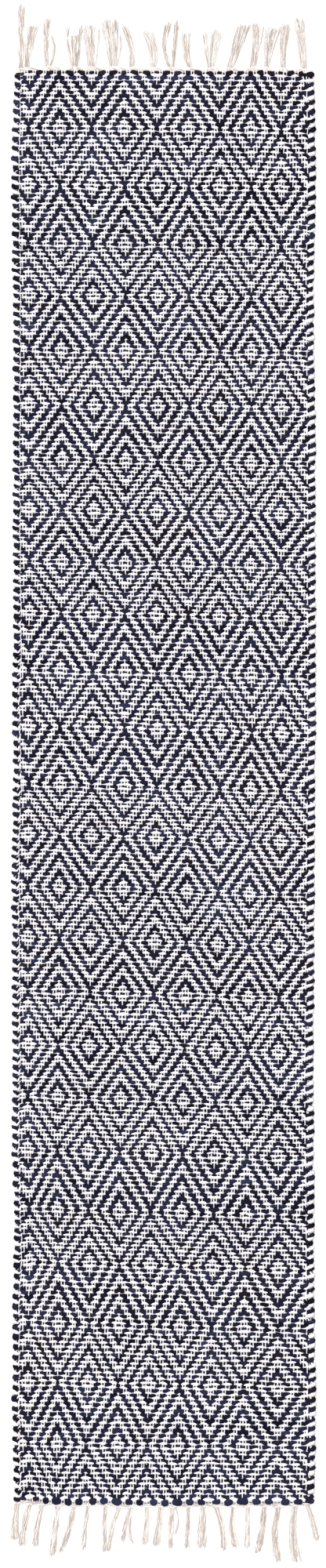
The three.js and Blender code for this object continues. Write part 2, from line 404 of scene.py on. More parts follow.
class Yarns:
    """Tubes of one kind of yarn, gathered into one mesh."""

    def __init__(self, section):
        self.section = section
        self.sides = len(section)
        self.points = []
        self.quads = []
        self.cells = []
        self.shades = []
        self.caps = []
        self.count = 0
        self.rows = 0

    def add(self, path, half_width, half_height, shade, row, place, across=None):
        """row and place say where each ring lies in the flat map: its line and its part of it."""
        tube = rings(path, half_width, half_height, self.section, across)
        number, sides = len(path), self.sides
        ring = np.arange(number - 1)[:, None]
        turn = np.arange(sides)[None]
        here = self.count + ring * sides
        corner = (here + turn, here + (turn + 1) % sides)
        quads = np.stack([corner[0], corner[1], corner[1] + sides, corner[0] + sides], -1)
        self.quads.append(quads.reshape(-1, 4))
        low = self.rows + row[:-1, None] + STRIP_MARGIN + STRIP_WIDTH * turn / sides
        low = np.broadcast_to(low, quads.shape[:2])
        high = low + STRIP_WIDTH / sides
        start = np.broadcast_to(place[:-1, None], quads.shape[:2])
        stop = np.broadcast_to(np.where(place[1:] > place[:-1], place[1:], 1)[:, None], quads.shape[:2])
        corners = ((start, low), (start, high), (stop, high), (stop, low))
        self.cells.append(np.stack([np.stack(c, -1) for c in corners], 2).reshape(-1, 4, 2))
        self.caps.append((self.count, self.count + (number - 1) * sides))
        self.points.append(tube.reshape(-1, 3))
        self.shades.append(np.repeat(np.asarray(shade, float), sides, axis=0))
        self.count += number * sides
        self.rows += int(row.max()) + 1

    def build(self, name, material):
        points = to_world(np.concatenate(self.points))
        quads = np.concatenate(self.quads)
        cells = np.concatenate(self.cells)
        cells[..., 1] /= self.rows
        cells[..., 0] = 0.002 + 0.996 * cells[..., 0]
        ends = [np.arange(self.sides) + at for pair in self.caps for at in pair]
        flip = [n % 2 == 0 for n in range(len(ends))]
        ends = [ring[::-1] if turned else ring for ring, turned in zip(ends, flip)]
        mesh = bpy.data.meshes.new(name)
        mesh.vertices.add(len(points))
        mesh.vertices.foreach_set("co", points.astype(np.float32).ravel())
        loops = np.concatenate([quads.ravel(), *ends])
        totals = np.concatenate([np.full(len(quads), 4), np.full(len(ends), self.sides)])
        mesh.loops.add(len(loops))
        mesh.loops.foreach_set("vertex_index", loops.astype(np.int32))
        mesh.polygons.add(len(totals))
        starts = np.concatenate([[0], np.cumsum(totals)[:-1]])
        mesh.polygons.foreach_set("loop_start", starts.astype(np.int32))
        mesh.polygons.foreach_set("loop_total", totals.astype(np.int32))
        mesh.polygons.foreach_set("use_smooth", np.ones(len(totals), bool))
        layer = mesh.uv_layers.new(name="OFBake")
        flat = np.concatenate([cells.reshape(-1, 2), np.full((len(ends) * self.sides, 2), 0.001)])
        layer.data.foreach_set("uv", flat.astype(np.float32).ravel())
        shade = mesh.attributes.new("shade", "FLOAT_COLOR", "POINT")
        values = np.concatenate(self.shades)
        colours = np.column_stack([values, np.ones(len(values))])
        shade.data.foreach_set("color", colours.astype(np.float32).ravel())
        mesh.update()
        mesh.validate()
        obj = bpy.data.objects.new(name, mesh)
        bpy.context.scene.collection.objects.link(obj)
        mesh.materials.append(material)
        return obj


# materials

def linear(*colour):
    """A colour seen on screen, from 0 to 255, as Blender's linear value."""
    return tuple(c / 255 / 12.92 if c <= 10 else ((c / 255 + 0.055) / 1.055) ** 2.4 for c in colour)


# How much fibres and clouds change a yarn's tone, the clouds' scale, where the dark, middle and
# light tones lie, and how deep the fibres are, in metres. The fibres' lighter streaks are partly
# the yarn's own fibres and partly painted sheen.
FIBRE_AND_SHEEN_SHARE, CLOUD_SHARE = 0.55, 0.25
CLOUD_SCALE = 9
TONE_STOPS = (0.3, 0.65, 1.0)
FIBRE_DEPTH = 0.0008


def yarn_material(name, tones, streaks, lean, roughness, sheen, bump):
    """Soft spun yarn. tones are its dark, middle and light colours, streaks the fibres' size."""
    material = bpy.data.materials.new(name)
    material.use_nodes = True
    nodes, links = material.node_tree.nodes, material.node_tree.links
    shader = nodes["Principled BSDF"]
    shader.inputs["Roughness"].default_value = roughness
    shader.inputs["Specular IOR Level"].default_value = 0.05
    shader.inputs["Sheen Weight"].default_value = sheen
    shader.inputs["Sheen Roughness"].default_value = 0.6
    shader.inputs["Sheen Tint"].default_value = (*tones[2], 1)
    place = nodes.new("ShaderNodeTexCoord")
    turn = nodes.new("ShaderNodeMapping")
    turn.inputs["Rotation"].default_value = (0, 0, lean)
    turn.inputs["Scale"].default_value = streaks
    links.new(place.outputs["Object"], turn.inputs["Vector"])
    fibre = nodes.new("ShaderNodeTexNoise")
    fibre.inputs["Scale"].default_value = 1
    fibre.inputs["Detail"].default_value = 3
    fibre.inputs["Roughness"].default_value = 0.62
    links.new(turn.outputs["Vector"], fibre.inputs["Vector"])
    cloud = nodes.new("ShaderNodeTexNoise")
    cloud.inputs["Scale"].default_value = CLOUD_SCALE
    cloud.inputs["Detail"].default_value = 2
    links.new(place.outputs["Object"], cloud.inputs["Vector"])
    tint = nodes.new("ShaderNodeAttribute")
    tint.attribute_name = "shade"
    split = nodes.new("ShaderNodeSeparateColor")
    links.new(tint.outputs["Color"], split.inputs["Color"])
    # The fibre noise lightens streaks of the base colour: partly the yarn's own fibres, partly painted
    # sheen.
    mixed = nodes.new("ShaderNodeMath")
    mixed.operation = "MULTIPLY_ADD"
    mixed.inputs[1].default_value = FIBRE_AND_SHEEN_SHARE
    links.new(fibre.outputs["Fac"], mixed.inputs[0])
    links.new(split.outputs["Red"], mixed.inputs[2])
    drift = nodes.new("ShaderNodeMath")
    drift.operation = "MULTIPLY_ADD"
    drift.inputs[1].default_value = CLOUD_SHARE
    links.new(cloud.outputs["Fac"], drift.inputs[0])
    links.new(mixed.outputs[0], drift.inputs[2])
    ramp = nodes.new("ShaderNodeValToRGB")
    ramp.color_ramp.interpolation = "B_SPLINE"
    ramp.color_ramp.elements[0].position = TONE_STOPS[0]
    ramp.color_ramp.elements[0].color = (*tones[0], 1)
    ramp.color_ramp.elements[1].position = TONE_STOPS[2]
    ramp.color_ramp.elements[1].color = (*tones[2], 1)
    middle = ramp.color_ramp.elements.new(TONE_STOPS[1])
    middle.color = (*tones[1], 1)
    links.new(drift.outputs[0], ramp.inputs["Fac"])
    odd = nodes.new("ShaderNodeMix")
    odd.data_type = "RGBA"
    odd.inputs["B"].default_value = (*tones[3], 1)
    links.new(split.outputs["Green"], odd.inputs["Factor"])
    links.new(ramp.outputs["Color"], odd.inputs["A"])
    links.new(odd.outputs["Result"], shader.inputs["Base Color"])
    raised = nodes.new("ShaderNodeBump")
    raised.inputs["Strength"].default_value = bump
    raised.inputs["Distance"].default_value = FIBRE_DEPTH
    links.new(fibre.outputs["Fac"], raised.inputs["Height"])
    links.new(raised.outputs["Normal"], shader.inputs["Normal"])
    return material


NAVY = yarn_material(
    "navy_cotton_yarn",
    [linear(10, 9, 18), linear(25, 24, 40), linear(50, 53, 80), linear(32, 23, 29)],
    (140, 900, 500), 0.35, 0.95, 0.0, 0.6,
)
WHITE = yarn_material(
    "white_cotton_yarn",
    [linear(212, 206, 214), linear(236, 232, 240), linear(250, 247, 252), linear(246, 238, 228)],
    (140, 900, 500), 0.35, 0.95, 0.0, 0.5,
)
WARP = yarn_material(
    "white_warp_thread",
    [linear(218, 214, 216), linear(240, 238, 240), linear(250, 249, 250), linear(238, 230, 214)],
    (1100, 300, 500), 0.5, 0.95, 0.05, 0.5,
)
CREAM = yarn_material(
    "cream_cotton_thread",
    [linear(180, 165, 155), linear(218, 208, 200), linear(251, 249, 247), linear(212, 195, 182)],
    (1100, 300, 500), 0.5, 0.95, 0.08, 0.6,
)


# the weave

def diamond_height(end):
    """The step of a warp end in the diamond, up from one turn and down to the next."""
    place = (end - TURN_END) % DIAMOND_ENDS
    return np.where(place <= DIAMOND_ENDS // 2, place, DIAMOND_ENDS - place)


def draft_step(pick):
    """The step of a pick in the diamond, which turns back every half diamond."""
    half = DIAMOND_PICKS // 2
    return 3 - (half - abs(pick % DIAMOND_PICKS - half))


def pick_rows():
    """The picks from the top down: row in pairs of picks, number, and whether it is navy."""
    white = [(t - 0.5, t, False) for t in range(1, PICKS)]
    navy = [(float(t), t, True) for t in range(PICKS)]
    return sorted(white + navy)


def row_height(row):
    """The height in the photograph, in pixels, of a row, before slant and drift."""
    turns = np.arange(len(TURN_ROWS)) * (DIAMOND_PICKS / 2)
    marks = np.append(turns, PICKS - 1)
    heights = np.append(TURN_ROWS, LAST_ROW)
    inside = np.interp(row, marks, heights)
    pitch = (heights[-1] - heights[-2]) / (marks[-1] - marks[-2])
    below = np.maximum(np.asarray(row) - (PICKS - 1), 0) * pitch
    above = np.minimum(row, 0) * ABOVE_PITCH_PX
    return inside + below + above


def end_columns(height):
    """Where each warp end lies, in pixels, at some heights of the photograph."""
    height = np.atleast_1d(height)
    _, mm = from_px(0, height)
    left = MIDDLE_PX[0] - edge_line("left", mm) / MM_PER_PX
    right = MIDDLE_PX[0] + edge_line("right", mm) / MM_PER_PX
    levels = [level for level, _ in AXIS_COLUMNS]
    columns = np.array([columns for _, columns in AXIS_COLUMNS])
    inner = [np.interp(height, levels, columns[:, n]) for n in range(len(AXIS_ENDS))]
    marks = np.array([FIRST_END, TURN_END, *AXIS_ENDS, LAST_END])
    known = np.column_stack([left + FIRST_END_IN, left + TURN_END_IN, *inner, right - LAST_END_IN])
    ends = np.arange(FIRST_END, LAST_END + 1)
    return np.array([np.interp(ends, marks, row) for row in known])


def slant(x, height):
    """How far a place on a pick lies below the pick's row, in pixels."""
    levels = [row[0] for row in SLANTS]
    left = np.interp(height, levels, [row[1] for row in SLANTS])
    right = np.interp(height, levels, [row[2] for row in SLANTS])
    start, stop = SLANT_COLUMNS
    return left + (right - left) * np.clip((x - start) / (stop - start), *SLANT_REACH)


def cloth_height(row, x):
    """The height in the photograph, in pixels, of a row of the weave at column x."""
    height = row_height(row)
    level = height + slant(x, height)
    mm_x = (x - MIDDLE_PX[0]) * MM_PER_PX
    for end, way in (("top", -1), ("bottom", 1)):
        reach = along(ROW_EDGES[end], mm_x / RUG_WIDTH + 0.5) / MM_PER_PX
        near = np.exp(-np.abs(height - END_LINES[end]) / END_FADE)
        level = level + near * (way * reach - slant(x, height) + END_OFFSET)
    return level


def random_drift(shape, parts):
    """Random drift over picks and ends, the sum of its parts."""
    return sum(size * smooth_field(shape, steps, chance) for size, steps in parts)


ROWS = pick_rows()
ROW = np.array([row for row, _, _ in ROWS])
NUMBER = np.array([number for _, number, _ in ROWS])
IS_NAVY = np.array([navy for _, _, navy in ROWS])
ENDS = np.arange(FIRST_END, LAST_END + 1)
STEP = np.array([draft_step(t) for t in NUMBER])
PHASE = (diamond_height(ENDS)[None] - STEP[:, None]) % 4
OVER = np.where(IS_NAVY[:, None], PHASE < 2, PHASE >= 2)
OVER[:, [0, -1]] = False
COLUMN = end_columns(row_height(ROW))
COLUMN += random_drift(COLUMN.shape, COLUMN_DRIFT)
LEVEL = cloth_height(ROW[:, None], COLUMN)
LEVEL += random_drift(LEVEL.shape, LEVEL_DRIFT)
PITCH = np.gradient(cloth_height(ROW[:, None], COLUMN), axis=0) * 2
RIGHT_EDGE = MIDDLE_PX[0] + edge_line("right", from_px(0, row_height(ROW))[1]) / MM_PER_PX


def run_lengths(state):
    """For each pick and end, how many ends its float or its passage below spans."""
    lengths = np.ones(state.shape, int)
    for line, out in zip(state, lengths):
        cuts = np.flatnonzero(np.diff(line.astype(int))) + 1
        for part in np.split(np.arange(len(line)), cuts):
            out[part] = len(part)
    return lengths


RUN = run_lengths(OVER)

# How much room a float over one, over two and over more warp ends takes from its neighbours.
SHORT_WEIGHT, EVEN_WEIGHT, LONG_WEIGHT = 0.65, 1.0, 1.35
MOST_WEIGHT = 1.15
WEIGHT = np.select([RUN == 1, RUN == 2], [SHORT_WEIGHT, EVEN_WEIGHT], LONG_WEIGHT)

# How far a float spreads to the next one in its column, in pairs of picks, by the gap to
# that one and the gap on the float's other side: (navy, white).
SPREADS = {
    ("close", "close"): (0.30, 0.25),
    ("close", "next"): (0.28, 0.28),
    ("close", "far"): (0.30, 0.28),
    ("next", "close"): (0.40, 0.35),
    ("next", "next"): (0.46, 0.37),
    ("next", "far"): (0.55, 0.42),
    ("far", "close"): (0.42, 0.26),
    ("far", "next"): (0.34, 0.23),
    ("far", "far"): (0.56, 0.33),
}


# Gaps between floats in one column, in pairs of picks: the largest that is close, and next.
CLOSE_GAP, NEXT_GAP = 0.7, 1.2

# How far the first and last floats of a column spread outwards, and the last pick's least share.
SPREAD_UP, SPREAD_DOWN = 0.55, 0.64
LEAST_TAPER = 0.4

# Half width of a yarn below the warp, in pairs of picks.
NAVY_BELOW, WHITE_BELOW = 0.21, 0.15


def gap_kind(gap):
    return "close" if gap < CLOSE_GAP else "next" if gap < NEXT_GAP else "far"


def share_out():
    """How far each float spreads up and down its column, in pairs of picks."""
    up = np.full(OVER.shape, SPREAD_UP)
    down = np.full(OVER.shape, SPREAD_DOWN)
    start, stop = TAPER_COLUMNS
    down[-1] *= np.clip((COLUMN[-1] - start) / (stop - start), LEAST_TAPER, 1)
    for j in range(OVER.shape[1]):
        line = np.flatnonzero(OVER[:, j])
        kinds = ["far", *map(gap_kind, np.diff(ROW[line])), "far"]
        for n in range(len(line) - 1):
            a, b = line[n], line[n + 1]
            here = kinds[n + 1]
            above = SPREADS[here, kinds[n]][0 if IS_NAVY[a] else 1]
            below = SPREADS[here, kinds[n + 2]][0 if IS_NAVY[b] else 1]
            if here == "next":
                part = above * WEIGHT[a, j] / (above * WEIGHT[a, j] + below * WEIGHT[b, j])
                down[a, j] = (above + below) * part
                up[b, j] = (above + below) * (1 - part)
            else:
                down[a, j] = above * min(MOST_WEIGHT, WEIGHT[a, j])
                up[b, j] = below * min(MOST_WEIGHT, WEIGHT[b, j])
    return up, down


FACE_UP, FACE_DOWN = share_out()
CENTRE = np.where(OVER, 0.5 * (FACE_DOWN - FACE_UP), 0)
BELOW = np.where(IS_NAVY, NAVY_BELOW, WHITE_BELOW)[:, None]
SPREAD = np.where(OVER, 0.5 * (FACE_DOWN + FACE_UP), BELOW)


# Where no floats enclose a yarn its gap counts as this wide, and no gap moves it further than this.
NO_GAP = 9.0
MOST_OFFSET = 0.15


def passages():
    """For each yarn below: the size of the gap between the floats over it, and its offset."""
    size = np.full(OVER.shape, NO_GAP)
    offset = np.zeros(OVER.shape)
    for j in range(OVER.shape[1]):
        line = np.flatnonzero(OVER[:, j])
        for a, b in zip(line, line[1:]):
            between = np.arange(a + 1, b)
            middle = (ROW[a] + FACE_DOWN[a, j] + ROW[b] - FACE_UP[b, j]) / 2
            size[between, j] = ROW[b] - ROW[a]
            offset[between, j] = np.clip(middle - ROW[between], -MOST_OFFSET, MOST_OFFSET)
    return size, offset


GAP_SIZE, GAP_OFFSET = passages()


# How high a yarn lies over one or two warp ends, how deep under them, and the same over or
# under more of them. The white yarn dips less.
LIFT, LONG_LIFT = {1: 0.8, 2: 1.0}, 1.08
DIP, LONG_DIP, WHITE_DIP = {1: -0.62, 2: -1.0}, -1.08, 0.75

# The last rings of a float: how far out of its last warp end, and its centre, half width and
# lift as shares of the float's own, or for a pointed white end of the sum of its centres. The
# ends where the float's phase is 0 or 3 are blunt.
SINGLE_OUT, SINGLE_HALF = 0.35, 0.95
NAVY_MIDDLE_HALF = 1.08
BLUNT_NAVY = ((0.6, 1.25, 0.72, 0.78), (-0.2, 1, 1, 1))
POINTED_NAVY = (0.25, 2.0, 0.86, 0.95)
BLUNT_WHITE = (0.45, 1, 0.88, 0.88)
POINTED_WHITE = (0.25, -0.5, 0.8, 0.65)
WHITE_MIDDLE_SHIFT, WHITE_MIDDLE_CENTRE = 0.1, 1.4


def float_rings(p, part):
    """One float: column (in warp ends), centre and half width (in pairs), and lift of each ring."""
    navy = IS_NAVY[p]
    full = LIFT.get(len(part), LONG_LIFT)
    if len(part) == 1:
        n = part[0]
        half = SINGLE_HALF * SPREAD[p, n]
        return [(n + side * SINGLE_OUT, CENTRE[p, n], half, full) for side in (-1, 1)]
    first, last = part[0], part[-1]
    found = []
    for n in (first, last) if not navy else part:
        side = -1 if n == first else 1 if n == last else 0
        blunt = PHASE[p, n] in (0, 3)
        centre, half = CENTRE[p, n], SPREAD[p, n]
        if not side:
            found.append((n, centre, NAVY_MIDDLE_HALF * half, full))
            continue
        if navy:
            shapes = BLUNT_NAVY if blunt else (POINTED_NAVY,)
        elif blunt:
            shapes = (BLUNT_WHITE,)
        else:
            shapes = (POINTED_WHITE,)
            centre = CENTRE[p, part].sum()
        ends = [
            (n + out * side, off * centre, wide * half, lift * full)
            for out, off, wide, lift in shapes
        ]
        found += ends if side < 0 else ends[::-1]
    if not navy:
        lean = (PHASE[p, last] == 3) * 1.0 - (PHASE[p, first] == 3)
        middle = part.mean() + WHITE_MIDDLE_SHIFT * lean
        centre = CENTRE[p, part].mean() * WHITE_MIDDLE_CENTRE
        found.insert(1, (middle, centre, SPREAD[p, part].max(), full))
    return found


def pick_rings(p):
    """The rings of one pick from left to right: x, y and half width (px), and height."""
    line = []
    cuts = np.flatnonzero(np.diff(OVER[p].astype(int))) + 1
    for part in np.split(np.arange(len(ENDS)), cuts):
        half = SPREAD[p, part[0]]
        deep = DIP.get(len(part), LONG_DIP) * (1 if IS_NAVY[p] else WHITE_DIP)
        off = GAP_OFFSET[p, part[np.argmin(GAP_SIZE[p, part])]]
        if OVER[p, part[0]]:
            line += float_rings(p, part)
        elif len(part) < 3:
            line.append((part.mean(), off, half, deep))
        else:
            line += [(part[0] + 0.4, off, half, deep), (part[-1] - 0.4, off, half, deep)]
    line = np.array(line)
    spots = np.arange(len(ENDS))
    pitch = np.interp(line[:, 0], spots, PITCH[p])
    x = np.interp(line[:, 0], spots, COLUMN[p])
    y = np.interp(line[:, 0], spots, LEVEL[p]) + line[:, 1] * pitch
    return np.column_stack([x, y, line[:, 2] * pitch, line[:, 3]])


def turn_rings(side, p, after):
    """The rings of one turn at the rug's edge, from one pick to the next of its kind."""
    way = -1 if side == "left" else 1
    middle = (ROW[p] + ROW[after]) / 2 + (0 if IS_NAVY[p] else WHITE_TURN_ROW)
    height = row_height(middle)
    _, mm = from_px(0, height)
    edge = MIDDLE_PX[0] + way * edge_line(side, mm) / MM_PER_PX
    pitch = cloth_height(ROW[after], edge) - cloth_height(ROW[p], edge)
    level = cloth_height(middle, edge) + along(TURN_LAGS[side], middle / PICKS)
    turn = np.array(TURN_RINGS[side])
    stray = np.clip(chance.normal(0, TURN_STRAY_OUT), *TURN_STRAY_RANGE)
    turn[:, 0] = edge - way * turn[:, 0] + stray * way
    turn[:, 1] += level + chance.normal(0, TURN_STRAY_DOWN)
    turn[:, 2] *= pitch * (TURN_WIDTH + chance.normal(0, TURN_WIDTH_STRAY))
    return np.column_stack([turn, np.full(len(turn), p)])


def with_free_end(line, p, edge):
    """The first or last pick with its free end, which lies plump in one of the right corners."""
    pitch = PITCH[p, -1] * (1 if IS_NAVY[p] else WHITE_END_SIZE)
    level = cloth_height(ROW[p], edge - FREE_END_LEVEL_IN) + (0 if IS_NAVY[p] else WHITE_END_DROP)
    end = np.array([
        (edge - inward, level + down * pitch, half * pitch, lift)
        for inward, down, half, lift in FREE_END
    ])
    kept = line[line[:, 0] < edge - FREE_END_ROOM]
    if p > 1:
        return np.concatenate([kept, end])
    return np.concatenate([end[::-1], kept])


def weft_path(navy):
    """One weft from end to end of the rug: its rings and the pick that each belongs to."""
    picks = np.flatnonzero(IS_NAVY == navy)
    rows = []
    for n, p in enumerate(picks):
        leftward = (NUMBER[p] % 2 == 0) == navy
        line = pick_rings(p)
        if leftward:
            line = line[::-1]
            line = line[line[:, 0] < RIGHT_EDGE[p] - TURN_ROOM]
        number = len(line)
        wide = 1 + SWELL * smooth_noise(number, SWELL_RINGS, chance) + chance.normal(0, PICK_SWELL)
        line[:, 0] += chance.normal(0, STRAY_ACROSS, number)
        sway = smooth_noise(number, SWAY_RINGS, chance) * SWAY
        line[:, 1] += sway + chance.normal(0, STRAY_DOWN, number)
        line[:, 2] *= wide * (NAVY_WIDTH if navy else WHITE_WIDTH)
        line[:, 2] *= 1 + RING_SWELL * chance.normal(0, 1, number)
        line[:, 3] *= 1 + RING_LIFT * chance.normal(0, 1, number)
        if p in (0, 1, len(ROW) - 1):
            line = with_free_end(line, p, RIGHT_EDGE[p])
        rows.append(np.column_stack([line, np.full(len(line), p)]))
        if p == picks[-1]:
            break
        side = "left" if leftward else "right"
        rows.append(turn_rings(side, p, picks[n + 1]))
    return np.concatenate(rows)


CLOUDS = smooth_field(OVER.shape, (34, 14), chance)
TINTS = smooth_field(OVER.shape, (22, 10), chance)


def weft_shades(columns, picks, tops, navy):
    """Light or dark, and off-colour, from yarn to yarn, from float to float and over the cloth."""
    tone = NAVY_TONE if navy else WHITE_TONE
    by_pick = {p: chance.normal(0, 1) for p in np.unique(picks)}
    odd_pick = {p: chance.random() < tone["odd_pick"] for p in np.unique(picks)}
    change = np.concatenate([[True], (tops[1:] > 0) != (tops[:-1] > 0)])
    floats = np.cumsum(change)
    by_float = chance.normal(0, 1, floats.max() + 1)[floats]
    odd_float = (chance.random(floats.max() + 1) < tone["odd_float"])[floats]
    light = BASE_TONE + PICK_TONE * np.array([by_pick[p] for p in picks]) + tone["float"] * by_float
    odd = np.where(odd_float, ODD_FLOAT_TONE, 0)
    odd = odd + np.where([odd_pick[p] for p in picks], ODD_PICK_TONE, 0)
    left, right = CLOTH_COLUMNS
    spots = picks, np.clip((columns - left) / END_SPACING_PX, 0, len(ENDS) - 1).astype(int)
    light += tone["cloud"] * CLOUDS[spots]
    odd += np.clip(TINTS[spots] - TINT_FROM, 0, 1) * tone["tint"]
    if not navy:
        odd += SELVEDGE_TONE * ((columns < left) | (columns > right))
    light = np.clip(light, 0, 0.6)
    return np.column_stack([light, np.clip(odd, 0, 0.9), np.zeros(len(picks))])


def build_weft(navy, name, material):
    line = weft_path(navy)
    x, y = from_px(line[:, 0], line[:, 1])
    rise = NAVY_RISE if navy else WHITE_RISE
    path = np.column_stack([x, y, MID_HEIGHT + rise * line[:, 3]])
    half = line[:, 2] * MM_PER_PX
    picks = line[:, 4].astype(int)
    shade = weft_shades(line[:, 0], picks, line[:, 3], navy)
    thick = WEFT_HALF * (1 + 0.04 * chance.normal(0, 1, len(path)))
    path[:, 2] = np.clip(path[:, 2], thick * 0.9 + 0.05, 2 * MID_HEIGHT - thick * 0.9 - 0.05)
    order = np.unique(picks, return_inverse=True)[1]
    first = np.searchsorted(order, np.arange(order.max() + 1))
    size = np.bincount(order)
    place = (np.arange(len(order)) - first[order]) / size[order]
    middle = first[len(first) // 2]
    pieces = []
    for label, part in (("a", slice(0, middle)), ("b", slice(middle, None))):
        yarns = Yarns(WEFT_SECTION)
        rows = order[part] - order[part][0]
        yarns.add(path[part], half[part], thick[part], shade[part], rows, place[part], across=(0, 1, 0))
        pieces.append(yarns.build(f"{name}_{label}", material))
    return pieces


# The warp's bars between the floats: how far they run in under them (in pairs of picks), their
# sway (px) and heights, and the first and last rings, out of the end picks (in pairs of picks).
BAR_OVERLAP = 0.08
BAR_SWAY, BAR_STRAY = 0.3, 0.25
BAR_HEIGHT, SHORT_BAR_HEIGHT = 0.9, 0.85
LAST_RING_OUT, END_RING_OUT = 0.45, 0.75
BELOW_FLOAT, END_RING_HEIGHT = -0.4, 0.2

# The first and last warp end: heights at the navy and at the white picks, ripple, and sway (px).
BESIDE_NAVY, BESIDE_WHITE = 0.4, -0.5
EDGE_RIPPLE, EDGE_SWAY = 0.6, 1.5
RIGHT_DROP, EDGE_TIP_HEIGHT = 0.3, -0.9


def warp_path(j):
    """One warp end from the top to the bottom: under the floats and over between them."""
    line = np.flatnonzero(OVER[:, j])
    rows = []

    def spot(p, offset):
        return COLUMN[p, j], LEVEL[p, j] + offset * PITCH[p, j]

    for a, b in zip(line, line[1:]):
        gap = ROW[b] - ROW[a]
        sway = BAR_SWAY if PHASE[a, j + 1] == (PHASE[a, j] + 1) % 4 else -BAR_SWAY
        low = spot(a, FACE_DOWN[a, j] + BAR_OVERLAP)
        high = spot(b, -FACE_UP[b, j] - BAR_OVERLAP)
        if IS_NAVY[a]:
            rows.append((*spot(a, 0.04), -1.0))
        if gap > NEXT_GAP:
            stray = chance.normal(0, BAR_STRAY)
            rows.append((low[0] + sway + stray, low[1], BAR_HEIGHT))
            rows.append((high[0] - sway + stray, high[1], BAR_HEIGHT))
        elif gap > CLOSE_GAP and not IS_NAVY[a]:
            rows.append(((low[0] + high[0]) / 2, (low[1] + high[1]) / 2, SHORT_BAR_HEIGHT))
    first_height, last_height = (BELOW_FLOAT if OVER[p, j] else BAR_HEIGHT for p in (0, -1))
    first = [
        (*spot(0, -END_RING_OUT), END_RING_HEIGHT),
        (*spot(0, -LAST_RING_OUT), first_height),
    ]
    last = [
        (*spot(-1, LAST_RING_OUT), last_height),
        (*spot(-1, END_RING_OUT), END_RING_HEIGHT),
    ]
    rows = np.array(first + rows + last)
    above = rows[:, 2] > 0
    straight = above[1:-1] & above[:-2] & above[2:]
    return rows[np.concatenate([[True], ~straight, [True]])]


def edge_warp_path(j):
    """The first and last warp end, which run over the yarns that turn beside them."""
    picks = np.arange(len(ROW))
    ripple = EDGE_RIPPLE * smooth_noise(len(picks), 1.5, chance)
    height = np.where(IS_NAVY, BESIDE_NAVY, BESIDE_WHITE) + ripple
    height -= RIGHT_DROP if j else 0
    height[[0, -1]] = EDGE_TIP_HEIGHT
    sway = EDGE_SWAY * smooth_noise(len(picks), 2.5, chance)
    return np.column_stack([COLUMN[picks, j] + sway, LEVEL[picks, j], height])


def build_warp(name, material):
    pieces = []
    halves = np.array_split(np.arange(len(ENDS)), 2)
    for label, part in zip("ab", halves):
        yarns = Yarns(WARP_SECTION)
        for j in part:
            line = warp_path(j) if 0 < j < len(ENDS) - 1 else edge_warp_path(j)
            x, y = from_px(line[:, 0], line[:, 1])
            path = np.column_stack([x, y, MID_HEIGHT + WARP_RISE * line[:, 2]])
            half = WARP_HALF * (1 + 0.2 * smooth_noise(len(path), 2.3, chance))
            shade = np.column_stack([
                0.3 + 0.06 * smooth_noise(len(path), 6, chance),
                np.zeros(len(path)),
                np.zeros(len(path)),
            ])
            place = np.arange(len(path)) / len(path)
            yarns.add(path, half, half, shade, np.zeros(len(path), int), place)
        pieces.append(yarns.build(f"{name}_{label}", material))
    return pieces


# The ground's faces across and down, and how far it stays in from the edges, in pixels.
GROUND_FACES = (24, 96)
GROUND_INSET = 2.5


def build_ground():
    """The thin ground between the two faces of the weave, to which the yarns belong."""
    across, down = GROUND_FACES
    points = []
    for t in np.linspace(0, 1, down + 1):
        row = -0.2 + t * (PICKS - 0.6)
        height = row_height(row)
        _, mm = from_px(0, height)
        left = MIDDLE_PX[0] - edge_line("left", mm) / MM_PER_PX + GROUND_INSET
        right = MIDDLE_PX[0] + edge_line("right", mm) / MM_PER_PX - GROUND_INSET
        for x in np.linspace(left, right, across + 1):
            points.append((*from_px(x, float(cloth_height(row, x))), MID_HEIGHT))
    points = to_world(np.array(points))
    quads = []
    for i in range(down):
        for j in range(across):
            at = i * (across + 1) + j
            quads.append((at, at + across + 1, at + across + 2, at + 1))
    mesh = bpy.data.meshes.new("woven_ground")
    mesh.from_pydata([tuple(p) for p in points], [], quads)
    mesh.polygons.foreach_set("use_smooth", [True] * len(quads))
    obj = bpy.data.objects.new("woven_ground", mesh)
    bpy.context.scene.collection.objects.link(obj)
    return obj


def painted_shade_ground_material():
    """Dark navy rows, seen only deep between the yarns: painted shade for the weave's shadowed inside.
    """
    material = bpy.data.materials.new("woven_ground_painted_shade")
    material.use_nodes = True
    nodes, links = material.node_tree.nodes, material.node_tree.links
    shader = nodes["Principled BSDF"]
    shader.inputs["Roughness"].default_value = 0.95
    shader.inputs["Specular IOR Level"].default_value = 0.1
    place = nodes.new("ShaderNodeTexCoord")
    wave = nodes.new("ShaderNodeTexWave")
    wave.bands_direction = "Y"
    wave.inputs["Scale"].default_value = 27
    wave.inputs["Distortion"].default_value = 2
    wave.inputs["Detail"].default_value = 2
    links.new(place.outputs["Object"], wave.inputs["Vector"])
    ramp = nodes.new("ShaderNodeValToRGB")
    # Both tones are dark navy: painted shade, not the cloth's navy and white.
    ramp.color_ramp.elements[0].color = (*linear(20, 20, 32), 1)
    ramp.color_ramp.elements[1].color = (*linear(44, 43, 60), 1)
    links.new(wave.outputs["Fac"], ramp.inputs["Fac"])
    links.new(ramp.outputs["Color"], shader.inputs["Base Color"])
    raised = nodes.new("ShaderNodeBump")
    raised.inputs["Strength"].default_value = 0.4
    raised.inputs["Distance"].default_value = 0.001
    links.new(wave.outputs["Fac"], raised.inputs["Height"])
    links.new(raised.outputs["Normal"], shader.inputs["Normal"])
    return material


ground = build_ground()
# The ground's dark colour is painted shade, seen through the gaps between the yarns.
ground.data.materials.append(painted_shade_ground_material())
wefts = build_weft(True, "navy_weft", NAVY) + build_weft(False, "white_weft", WHITE)
warps = build_warp("white_warp", WARP)


# headings and fringe

